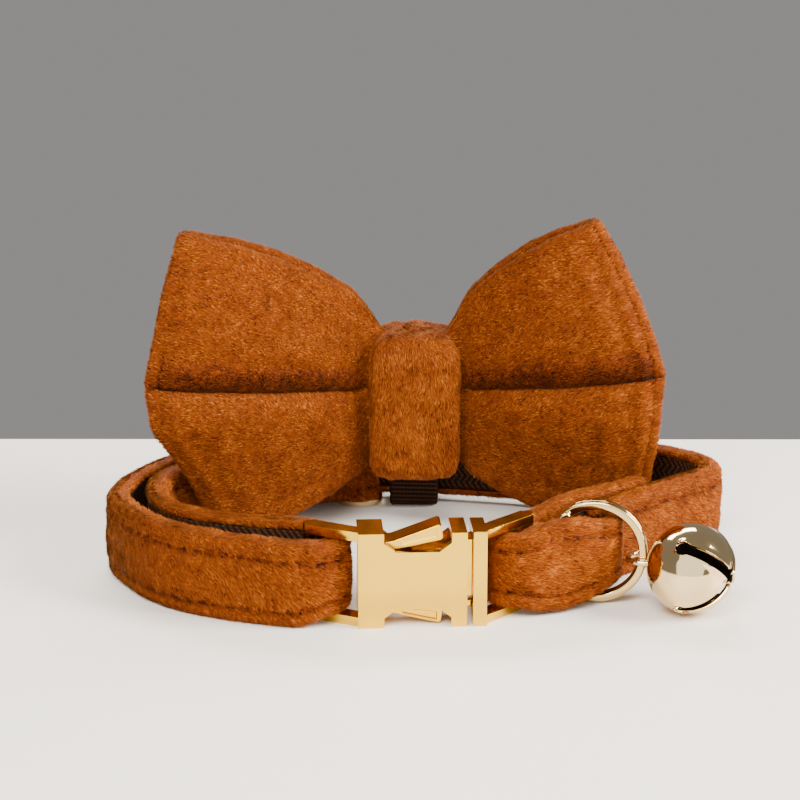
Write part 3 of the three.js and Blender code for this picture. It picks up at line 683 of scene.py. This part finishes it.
def buildStitches(name, stations, look, face, sides):
    rings, around, tip = stitchLook["rings"], stitchLook["around"], stitchLook["tip"]
    turn = np.linspace(0, 2 * np.pi, around, endpoint=False)
    points, faces = [], []
    total = stations["along"][-1]
    for edge, offset in (("low", 0.0), ("high", upperSeamShift)):
        start = look["stitchPitch"] - offset
        while start + look["stitchPitch"] < total:
            span = np.linspace(0, look["stitchPitch"] * stitchShare, rings) + start
            x, y, ox, oy, low, high = [np.interp(span, stations["along"], values) for values in (
                stations["place"][:, 0], stations["place"][:, 1], stations["outward"][:, 0],
                stations["outward"][:, 1], stations["low"], stations["high"])]
            z = low + look["seamIn"] if edge == "low" else high - look["seamIn"]
            swell = np.sin(np.linspace(tip, np.pi - tip, rings)) ** 0.5
            depth = face - seamDeep - stitchLook["sink"] + stitchLook["arch"] * swell
            for side in sides:
                base = len(points) * rings * around
                middle = np.stack([x + ox * depth * side, y + oy * depth * side, z], 1)
                across = np.stack([ox * side, oy * side, 0 * ox], 1)
                ring = np.cos(turn)[None, :, None] * across[:, None] + np.sin(turn)[None, :, None] * [0, 0, 1]
                points.append(middle[:, None] + stitchLook["radius"] * swell[:, None, None] * ring)
                faces += [tuple(base + i for i in corners) for corners in tubeFaces(rings, around)]
            start += look["stitchPitch"]
    material, tree, shader = newMaterial(name + "Thread", Roughness=0.75, Specular_IOR_Level=0.1)
    dark, light = ([c * stitchLook[key] for c in stitchLook["colour"]] for key in ("dark", "light"))
    addTint(tree, shader, addNoise(tree, 0.5, 2), [(0.3, dark), (0.7, light)])
    addBump(tree, shader, addNoise(tree, 0.12, 1), 0.6, 0.05)
    item = meshObject(name, points, faces, material)
    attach(item, "collar")


# Bow: two loops of plush with a crease, and the knot round them

bowLook = {
    "x": 2.4 + planShift[0],
    "y": 14.6 + planShift[1],
    "z": 23.2,
    "thick": 2.2,
    "rootShare": 0.16,
    "rootReach": 7.4,
    "rootStart": 0.2,
    "flare": 1.15,
    "edgeClose": 0.55,
    "endRound": 6,           # how tightly the outer fold turns
    "sweepStart": 8.4,
    "sweepPower": 1.1,
    "knotRise": 7.2,
    "middleLift": 5.6,
    "rows": 130,
    "columns": 84,
    "dents": 0.5,
    "dentSize": 9,
    "smallDentSize": 4.5,
    "creaseFull": 2.0,       # places and widths in the crease are shares of the wing's height
    "creaseWide": 0.16,
    "foldDeep": 2.8,         # the sharp part of the crease
    "foldAt": -0.012,
    "foldWide": 0.034,
    "brow": 1.5,             # the upper panel bulges over the fold
    "browAt": 0.085,
    "browWide": 0.06,
    "droop": 1.3,
    "droopAt": 0.04,
    "droopWide": 0.05,
    "foldDark": 1.10,        # painted shade that darkens cloth and pile in the fold, where the pile is also crushed shorter
    "foldBand": 0.030,
    "browDark": 0.26,        # and a little painted shade under the brow
    "browDarkAt": 0.08,
    "footPress": 0.25,       # the lower edge is pressed flat below this height
    "underKnot": 5.2,
    "pile": 150000,
    "pileLong": 0.68,
    "pileWide": 0.19,
}
wingPlan = {
    "along": (0.00, 0.12, 0.17, 0.24, 0.38, 0.56, 0.74, 0.90, 0.98),
    "spread": (2.4, 2.4, 2.4, 4.2, 5.6, 6.0, 5.0, 3.3, 1.6),
    "crease": (0.2, 0.3, 0.4, 2.0, 2.2, 1.9, 1.4, 0.8, 0.4),
    "edge": (0, 0.12, 0.27, 0.43, 0.60, 0.77, 0.89, 0.96, 1.00),
}
wings = [
    {"name": "bowLeftWing", "node": "bow_wing_left", "side": -1, "top": 29.4, "foot": 22.6, "sweep": 16.8,
     "heights": (-1, -0.62, -0.46, -0.25, 0, 0.3, 0.6, 1),
     "reaches": (30.5, 34.8, 37.2, 40.7, 41.5, 39.9, 38.4, 35.6), "nap": (-0.9, 0.0, 0.30), "seed": 51},
    {"name": "bowRightWing", "node": "bow_wing_right", "side": 1, "top": 30.0, "foot": 22.6, "sweep": 10.0,
     "heights": (-1, -0.75, -0.4, 0, 0.24, 0.5, 0.74, 1),
     "reaches": (33.0, 36.8, 38.2, 39.0, 37.1, 34.6, 31.8, 27.9), "nap": (0.9, 0.0, 0.28), "seed": 71},
]


def easedRow(key, along):
    xs, ys = np.array(wingPlan["along"]), np.array(wingPlan[key])
    i = np.clip(np.searchsorted(xs, along, side="right") - 1, 0, len(xs) - 2)
    part = np.clip((along - xs[i]) / (xs[i + 1] - xs[i]), 0, 1)
    if key != "edge":
        part = part * part * (3 - 2 * part)
    return ys[i] * (1 - part) + ys[i + 1] * part


def hump(height, at, wide):
    # 1 at its place and 0 well away from it
    return np.exp(-(((height - at) / wide) ** 2))


def wingMiddle(wing, s, height):
    # middle surface of a wing's cloth: s runs along the front panel, round the fold and back
    look = bowLook
    along = np.sin(np.pi * np.clip(s, 0, 1))
    side = np.sign(s - 0.5)
    flare = np.clip(1 - (1 - along) / (1 - look["rootShare"]), 0, 1)
    reachAt = np.interp(height, wing["heights"], wing["reaches"])
    start, rooted = look["rootStart"], look["rootReach"]
    reach = start + (rooted - start) * np.minimum(along / look["rootShare"], 1)
    reach = reach + (reachAt - rooted) * (1 - (1 - flare) ** look["flare"])
    edge = easedRow("edge", along)
    rise = np.where(height > 0, wing["top"], wing["foot"])
    half = look["knotRise"] + (rise - look["knotRise"]) * edge
    liftMiddle = look["middleLift"] * edge * (1 - np.abs(height))
    turn = np.sqrt(1 - (1 - np.minimum(1, np.abs(s - 0.5) * np.pi * look["endRound"])) ** 2)
    spread = easedRow("spread", along) * turn * (1 - look["edgeClose"] * height ** 2)
    crease = easedRow("crease", along)
    creased = np.clip(crease / look["creaseFull"], 0, 1) * turn
    sharp = np.exp(-np.abs(height - look["foldAt"]) / look["foldWide"])
    valley = crease * hump(height, 0, look["creaseWide"]) * turn + look["foldDeep"] * creased * sharp
    brow = look["brow"] * creased * hump(height, look["browAt"], look["browWide"])
    droop = look["droop"] * creased * hump(height, look["droopAt"], look["droopWide"])
    swept = np.maximum(0, reach - look["sweepStart"]) / (max(wing["reaches"]) - look["sweepStart"])
    swept = wing["sweep"] * swept ** look["sweepPower"]
    spots = np.stack([reach * wing["side"], height * 25, side * 8], -1)
    free = np.clip((along - 0.2) * 4, 0, 1)
    dents = softNoise(spots, look["dentSize"], wing["seed"])
    dents = dents + 0.5 * softNoise(spots, look["smallDentSize"], wing["seed"] + 1) - 0.75
    dents = look["dents"] * free * dents
    x = look["x"] + wing["side"] * reach
    y = look["y"] + side * (spread - valley + brow + dents) - swept
    z = look["z"] + height * half + liftMiddle - droop
    return np.stack([x, y, z], -1)


def wallSection(middle, normal, thick, around=6):
    # closed rings round a panel with rounded rims; middle and normal are (rows, columns, 3)
    half = thick / 2
    turn = np.linspace(0, np.pi, around + 2)[None, 1:-1, None]
    rims = []
    for end, sign, towards in ((-1, 1, middle[:, -1] - middle[:, -2]), (0, -1, middle[:, 0] - middle[:, 1])):
        ring = sign * np.cos(turn) * normal[:, end, None] + np.sin(turn) * unit(towards, 1e-9)[:, None]
        rims.append(middle[:, end, None] + half * ring)
    outer, inner = middle + normal * half, middle - normal * half
    return np.concatenate([outer, rims[0], inner[:, ::-1], rims[1]], axis=1)


def surfaceNormals(points, closed=False):
    # a closed band's normals point outwards, away from its own middle
    alongS = np.roll(points, -1, 0) - np.roll(points, 1, 0) if closed else np.gradient(points, axis=0)
    normal = unit(np.cross(alongS, np.gradient(points, axis=1)), 1e-12)
    if closed and normal[0, points.shape[1] // 2, 1] < 0:
        normal = -normal
    return normal


def buildWing(wing, cloth, pile):
    look = bowLook
    s = np.linspace(0, 1, look["rows"])
    w = np.linspace(-1, 1, look["columns"])
    height = (0.5 * w + 0.5 * w ** 3) * (1 - 0.5 * look["thick"] / wing["foot"])   # closer near the crease
    middle = wingMiddle(wing, *np.meshgrid(s, height, indexing="ij"))
    loops = wallSection(middle, surfaceNormals(middle), look["thick"])
    points = loops.reshape(-1, 3)
    low, press = points[:, 2] < look["footPress"], look["footPress"]
    points[low, 2] = press - (press - points[low, 2]) * 0.1
    item = meshObject(wing["name"], points, tubeFaces(len(loops), loops.shape[1]), cloth)

    along = np.sin(np.pi * s)
    free = np.clip((along - 0.12) * 8, 0, 1) * np.clip((1.004 - along) / 0.05, 0, 1)
    # painted shade in the wing's fold and a little under its brow, on both faces of the cloth
    browAt = look["browDarkAt"]
    dark = hump(height, 0, look["foldBand"]) + look["browDark"] * hump(height, browAt, browAt)
    count, rim = len(height), (loops.shape[1] - 2 * len(height)) // 2
    fold = np.zeros(loops.shape[:2])
    fold[:, :count] = free[:, None] * dark
    fold[:, -count - rim:-rim] = free[:, None] * dark[::-1]
    fold = look["foldDark"] * fold.ravel()
    markPoints(item.data, "fold", fold)

    def keep(spot, facing, corners):
        # bare under the knot and almost bare in the fold
        deep = fold[corners].mean(1) > 0.6
        under = np.abs(spot[:, 0] - look["x"]) < look["underKnot"]
        return np.where(under, 0.02, np.where(deep, 0.15, 1.0))

    nap = evenNap(wing["nap"])
    hairs = growPile(wing["name"] + "Pile", item, pile, look, nap, wing["seed"] + 5, keep, fold)
    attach(item, "collar")
    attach(hairs, "collar")
    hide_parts(wing["node"])


knotLook = {
    "width": 11.8,
    "bulge": 1.4,
    "footNarrow": 0.5,
    "deep": 5.7,
    "tall": 10.8,
    "z": 21.5,
    "square": 0.27,          # how square its section is: 1 is round
    "rows": 180,
    "columns": 46,
    "folds": 0.30,
    "foldSize": 2.4,
    "crown": 0.5,
    "inside": 0.6,
    "pile": 52000,
    "pileLong": 0.8,
    "pileWide": 0.16,
}


def squareBand(look, deep, tall, rows):
    # depth and height round a closed band with rounded corners, and how far up each row is, -1 to 1
    s = np.linspace(0, 1, rows, endpoint=False)
    c, n = np.cos(s * 2 * np.pi), np.sin(s * 2 * np.pi)
    depth = np.sign(c) * np.abs(c) ** look["square"] * deep
    height = np.sign(n) * np.abs(n) ** look["square"] * tall
    return depth[:, None], height[:, None], n[:, None]


def buildKnot(cloth, pile):
    look, bow = knotLook, bowLook
    y, z, up = squareBand(look, look["deep"], look["tall"], look["rows"])
    t = np.linspace(-1, 1, look["columns"])[None]
    narrow = np.where(up > 0, look["bulge"], look["footNarrow"]) * np.abs(up) ** 3
    width = look["width"] / 2 + look["bulge"] - narrow - bow["thick"] / 2
    spots = np.stack(np.broadcast_arrays(t * 7, y, z), -1)
    folds = softNoise(spots * [1, 1, 0.18], look["foldSize"], 91) - 0.5
    folds = look["folds"] * folds * 2 * (1 - t ** 4)
    middle = np.stack(np.broadcast_arrays(bow["x"] + t * width, bow["y"] + y, look["z"] + z), -1)
    normal = surfaceNormals(middle, closed=True)
    crown = look["crown"] * (1 - np.abs(t) ** 2.5)
    middle = middle + normal * (folds + crown)[..., None]
    loops = wallSection(middle, normal, bow["thick"])
    item = meshObject("bowKnot", loops, tubeFaces(len(loops), loops.shape[1], closed=True), cloth)

    def keep(spot, facing, corners):
        # almost bare inside the band
        deep = np.abs(spot[:, 1] - bow["y"]) < look["deep"] - look["inside"]
        level = np.abs(spot[:, 2] - look["z"]) < look["tall"] - look["inside"]
        return np.where(deep & level, 0.03, 1.0)

    hairs = growPile("knotPile", item, pile, look, evenNap((0.12, 0.0, -0.9)), 95, keep)
    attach(item, "collar")
    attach(hairs, "collar")
    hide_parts("bow_knot")


keeperLook = {
    "half": 4.0,
    "thick": 0.8,
    "share": 0.95,           # of the node's width
    "square": 0.35,
    "rows": 420,
    "columns": 26,
    "rib": 0.75,
    "deep": 0.10,
    "zigzag": 50.0,
    "dark": (0.006, 0.002, 0.001),
    "mid": (0.018, 0.006, 0.002),
    "light": (0.050, 0.018, 0.006),
}


def buildKeeper():
    look = keeperLook
    low, high = (np.array(corner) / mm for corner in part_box("bow_keeper"))
    mid = (low + high) / 2
    reach = (high - low) / 2 - look["thick"] / 2
    y, z, _ = squareBand(look, reach[1], reach[2], look["rows"])
    y, z = mid[1] + y, mid[2] + z
    t = np.linspace(-1, 1, look["columns"])[None]
    middle = np.stack(np.broadcast_arrays(mid[0] + t * look["half"] * look["share"], y, z), -1)
    normal = surfaceNormals(middle, closed=True)
    walk = np.concatenate([[[0]], np.cumsum(np.hypot(np.diff(y, axis=0), np.diff(z, axis=0)), axis=0)])
    weave = zigzagWeave(look, walk, 4 + t * look["half"])
    loops = wallSection(middle, normal, look["thick"] - look["deep"], 3)
    loops[:, :look["columns"]] += normal * (look["deep"] * weave)[..., None]
    item = meshObject("bowKeeper", loops, tubeFaces(len(loops), loops.shape[1], closed=True),
                      weaveMaterial("keeperElastic", look))
    # the weave's height, which the material turns into painted shade in its hollows and painted light on its
    # ribs
    raised = np.zeros(loops.shape[:2])
    raised[:, :look["columns"]] = weave
    markPoints(item.data, "weave", raised)
    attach(item, "collar")
    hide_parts("bow_keeper")


# Metal parts

metalLooks = {
    "paleGold": {"colour": (0.84, 0.52, 0.040), "rough": 0.12, "smear": 0.05},
    "ringGold": {"colour": (0.60, 0.43, 0.18), "rough": 0.10, "smear": 0.04},
    # painted shade: a near-black copy of the gold for the prong's faces inside the slit
    "paintedSlitShade": {"colour": (0.16, 0.050, 0.008), "rough": 0.35, "smear": 0.10},
    "bellGold": {"colour": (0.80, 0.60, 0.31), "rough": 0.07, "smear": 0.03},
}


def metalMaterial(name):
    look = metalLooks[name]
    material, tree, shader = newMaterial(name, Metallic=1.0)
    colour = look["colour"]
    addTint(tree, shader, addNoise(tree, 4, 3), [(0.35, [c * 0.96 for c in colour]), (0.65, colour)])
    smears = [(0.3, [look["rough"]] * 3), (0.75, [look["rough"] + look["smear"]] * 3)]
    tree.links.new(addRamp(tree, addNoise(tree, 2.2, 4), smears), shader.inputs["Roughness"])
    addBump(tree, shader, addNoise(tree, 0.12, 2, (1, 1, 0.2)), 0.03, 0.02)
    return material


bevels = {
    "buckle_socket": ("buckleSocket", 0.22, "collar"),
    "buckle_prong": ("buckleProng", 0.20, "collar"),
    "release_lever_upper": ("upperLever", 0.16, "upper_lever"),
    "release_lever_lower": ("lowerLever", 0.16, "lower_lever"),
    "strap_slider": ("strapSlider", 0.30, "collar"),
}
bevelAngle = math.radians(34)
slit = {"corner": (-6.1 + planShift[0], -33.5 + planShift[1]), "yaw": 3.5, "from": 15.5, "to": 18.42,
        "deeper": 1.0}


def inSlit(place):
    # the tongue between the two halves of the buckle, which no light reaches: its faces get a dark material
    # as painted shade
    turn = math.radians(slit["yaw"])
    x, y = place.x / mm - slit["corner"][0], place.y / mm - slit["corner"][1]
    along, deep = x * math.cos(turn) + y * math.sin(turn), y * math.cos(turn) - x * math.sin(turn)
    return slit["from"] < along < slit["to"] and deep > slit["deeper"]


def buildMetal(gold, sliderGold, shaded):
    for node, (name, width, body) in bevels.items():
        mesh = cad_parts[node].data.copy()
        mesh.name = name
        bm = bmesh.new()
        bm.from_mesh(mesh)
        bmesh.ops.remove_doubles(bm, verts=bm.verts, dist=2e-6)
        bmesh.ops.dissolve_limit(bm, angle_limit=math.radians(2), verts=bm.verts, edges=bm.edges)
        bmesh.ops.recalc_face_normals(bm, faces=bm.faces)
        # the prong's faces in the slit take the dark painted shade material
        for face in bm.faces:
            face.material_index = int(name == "buckleProng" and inSlit(face.calc_center_median()))
        bm.to_mesh(mesh)
        bm.free()
        mesh.materials.clear()
        mesh.materials.append(sliderGold if name == "strapSlider" else gold)
        mesh.materials.append(shaded)
        item = newObject(name, mesh)
        bevel = item.modifiers.new("softEdges", "BEVEL")
        bevel.width = width * mm
        bevel.segments = 3
        bevel.limit_method = "ANGLE"
        bevel.angle_limit = bevelAngle
        bevel.harden_normals = True
        mesh.polygons.foreach_set("use_smooth", [True] * len(mesh.polygons))
        mesh.set_sharp_from_angle(angle=bevelAngle)
        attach(item, body)
        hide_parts(node)


ringLook = {"outer": 7.8, "wide": 1.3, "deep": 1.05, "round": 0.3, "pitch": 1.2, "start": 0.6, "steps": 110,
            "yaw": -8, "lean": -3, "place": (29.6 + planShift[0], -21.6 + planShift[1], 7.9),
            "taper": (0.25, 0.6, 0.85)}    # the wire's ends get smaller over three sections


def yawed(points, degrees):
    turn = math.radians(degrees)
    return points @ np.array([[math.cos(turn), -math.sin(turn), 0], [math.sin(turn), math.cos(turn), 0],
                              [0, 0, 1]]).T


def buildRing(metal):
    look = ringLook
    half, deep, r = look["wide"] / 2, look["deep"] / 2, look["round"]
    section = []
    for first, cx, cy in ((0, 1, 1), (90, -1, 1), (180, -1, -1), (270, 1, -1)):
        section += arc((cx * (half - r), cy * (deep - r)), r, first, first + 90, 4)
    section = np.array(section)
    turns = np.linspace(0, 2, 2 * look["steps"] + 1)
    angle = np.pi / 2 + look["start"] + turns * 2 * np.pi
    depth = (turns - 1) * look["pitch"]
    radius = look["outer"] - half + section[None, :, 0, None]
    across = np.stack([np.cos(angle), 0 * angle, np.sin(angle)], 1)
    sideways = np.array([0, 1, 0]) * (depth[:, None, None] + section[None, :, 1, None])
    points = across[:, None] * radius + sideways
    for k, size in enumerate(look["taper"]):
        for end in (k, -1 - k):
            centre = points[end].mean(0)
            points[end] = centre + (points[end] - centre) * size ** 0.5
    lean = math.radians(look["lean"])
    tilt = np.array([[1, 0, 0], [0, math.cos(lean), -math.sin(lean)], [0, math.sin(lean), math.cos(lean)]])
    points = yawed(points @ tilt.T, look["yaw"]) + look["place"]
    item = meshObject("splitRing", points, tubeFaces(len(points), len(section)), metal)
    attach(item, "collar")
    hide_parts("split_ring")


bellLook = {
    "place": (43.3 + planShift[0], -26.7 + planShift[1], 6.95),
    "axis": -33.5,
    "radius": 6.9,
    "skin": 0.12,            # the shell lies this far inside its radius, so that the lips stay in it
    "wall": 0.6,
    "squat": 0.95,
    "slot": 0.85,
    "tipCut": 0.012,         # a petal's tip ends this angle before the slots meet
    "eye": 1.15,             # the round holes at the slots' ends
    "eyeAt": 0.9,
    "lip": 0.22,             # the rims are turned out
    "lipWide": 0.5,
    "rimOut": 0.16,
    "petalRows": 44,
    "rowPower": 1.6,         # closer rows near the eyes
    "columns": 29,
    "bowlRows": 26,
    # faces deeper than this take the near-black painted shade of the hollow
    "hollowShadeFrom": 0.58,
    "shank": 2.2,
    "shankWire": 0.45,
    "shankIn": 0.6,          # how far the shank's middle stands off, as a share of its radius
    "shankRings": 48,
    "shankSides": 14,
}


def bellPoint(polar, around, radius):
    look = bellLook
    belt = 1 - (1 - look["squat"]) * np.abs(np.cos(polar))
    across = radius * np.sin(polar)
    place = (across * np.cos(around), radius * belt * np.cos(polar), across * np.sin(around))
    return np.stack(np.broadcast_arrays(*place), -1)


def hollowMaterial():
    # the inside of the bell, rough and near black as painted shade
    material, tree, shader = newMaterial("bellHollow", Roughness=0.85, Specular_IOR_Level=0.1)
    stops = [(0.3, (0.006, 0.004, 0.003)), (0.8, (0.030, 0.018, 0.010))]
    addTint(tree, shader, addNoise(tree, 1.5, 2), stops)
    addBump(tree, shader, addNoise(tree, 0.4, 2), 0.4, 0.05)
    return material


def petalRim(outer, inner, edge, before, push):
    # the middle of the cut edge, a little out from the petal
    out = outer[:, edge] - outer[:, before]
    return (outer[:, edge] + inner[:, edge]) / 2 + push * unit(out, 1e-9)


def shellPieces(look):
    # four petals between the slots and the bowl under them: points and tube faces of each
    radius, skin = look["radius"], look["radius"] - look["skin"]
    tipPolar = math.asin(look["slot"] * math.sqrt(2) / radius) + look["tipCut"]
    endPolar = math.acos((look["eyeAt"] - look["eye"]) / radius)
    share = np.linspace(0, 1, look["petalRows"])
    polar = tipPolar + (endPolar - tipPolar) * (1 - (1 - share) ** look["rowPower"])
    height, across = radius * np.cos(polar), radius * np.sin(polar)
    inHole = np.sqrt(np.clip(look["eye"] ** 2 - (height - look["eyeAt"]) ** 2, 0, None))
    cut = np.where(height > look["eyeAt"], np.maximum(look["slot"], inHole), inHole)
    span = np.pi / 4 - np.arcsin(np.clip(cut / across, 0, 0.7071))
    u = np.linspace(-1, 1, look["columns"])
    edge = (1 - np.abs(u))[None] * span[:, None] * across[:, None]
    fade = np.clip(cut / 0.6, 0, 1)[:, None]
    lip = look["lip"] * np.exp(-((edge / look["lipWide"]) ** 2)) * fade
    push = look["rimOut"] * fade
    for petal in range(4):
        around = petal * np.pi / 2 + u[None] * span[:, None]
        outer = bellPoint(polar[:, None], around, skin + lip)
        inner = bellPoint(polar[:, None], around, skin - look["wall"] + lip * 0.6)
        rims = [petalRim(outer, inner, end, before, push) for end, before in ((-1, -2), (0, 1))]
        loop = np.concatenate([outer, rims[0][:, None], inner[:, ::-1], rims[1][:, None]], axis=1)
        sides = loop.shape[1]
        yield loop.reshape(-1, 3), tubeFaces(len(loop), sides, capped=False) + [tuple(range(sides))]
    polar = np.linspace(endPolar, np.pi - 0.001, look["bowlRows"])
    around = np.linspace(-np.pi / 4, 7 * np.pi / 4, 4 * (look["columns"] - 1), endpoint=False)
    for shell in (skin, skin - look["wall"]):
        bowl = bellPoint(polar[:, None], around[None], shell)
        yield bowl.reshape(-1, 3), tubeFaces(len(polar), len(around), capped=False)


def buildBell(metal, hollow):
    look = bellLook
    points, faces, count = [], [], 0
    for spots, corners in shellPieces(look):
        points.append(spots)
        faces += [tuple(count + i for i in face) for face in corners]
        count += len(spots)
    points = yawed(np.concatenate(points), look["axis"] - 90) + look["place"]
    item = meshObject("bellShell", points, faces, metal)
    item.data.materials.append(hollow)
    bm = bmesh.new()
    bm.from_mesh(item.data)
    # faces on the inside of the shell take the near-black painted shade
    for face in bm.faces:
        depth = look["radius"] - (face.calc_center_median() / mm - Vector(look["place"])).length
        face.material_index = int(depth > look["hollowShadeFrom"])
    bmesh.ops.remove_doubles(bm, verts=bm.verts, dist=1e-6)
    bmesh.ops.recalc_face_normals(bm, faces=bm.faces)
    bm.to_mesh(item.data)
    bm.free()
    item.data.set_sharp_from_angle(angle=math.radians(50))

    rings, sides, wire = look["shankRings"], look["shankSides"], look["shankWire"]
    turn = np.linspace(0, 2 * np.pi, rings, endpoint=False)[:, None]
    tube = np.linspace(0, 2 * np.pi, sides, endpoint=False)[None]
    reach = look["shank"] + wire * np.cos(tube)
    ring = np.stack([reach * np.cos(turn), reach * np.sin(turn), wire * np.sin(tube) + 0 * turn], -1)
    ring[..., 1] -= look["radius"] * look["squat"] + look["shank"] * look["shankIn"]
    shank = meshObject("bellShank", yawed(ring, look["axis"] - 90) + look["place"],
                       tubeFaces(rings, sides, closed=True), metal)
    for piece in (item, shank):
        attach(piece, "collar")
    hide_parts("bell")


makeCamera()
makeStudio()
print("camera and studio made")
strap = buildStrapPlush()
buildWebbing()
tab = buildTab()
buildStitches("strapStitches", strap, strapLook, strapFace, (1,))
buildStitches("tabStitches", tab, tabLook, tabLook["half"], (1, -1))
print("strap and tab made")
# the bow's and knot's lifts are painted light and shade on the one plush fabric
bowMaterials = plushMaterials("bowPlush", 0.80, 3.0)
for wing in wings:
    buildWing(wing, *bowMaterials)
buildKnot(*plushMaterials("knotPlush", 0.90, 4.0))
buildKeeper()
print("bow made")
paleGold = metalMaterial("paleGold")
bellGold = metalMaterial("bellGold")
ringGold = metalMaterial("ringGold")
buildMetal(paleGold, bellGold, metalMaterial("paintedSlitShade"))
buildRing(ringGold)
buildBell(bellGold, hollowMaterial())
print("buckle, ring and bell made")
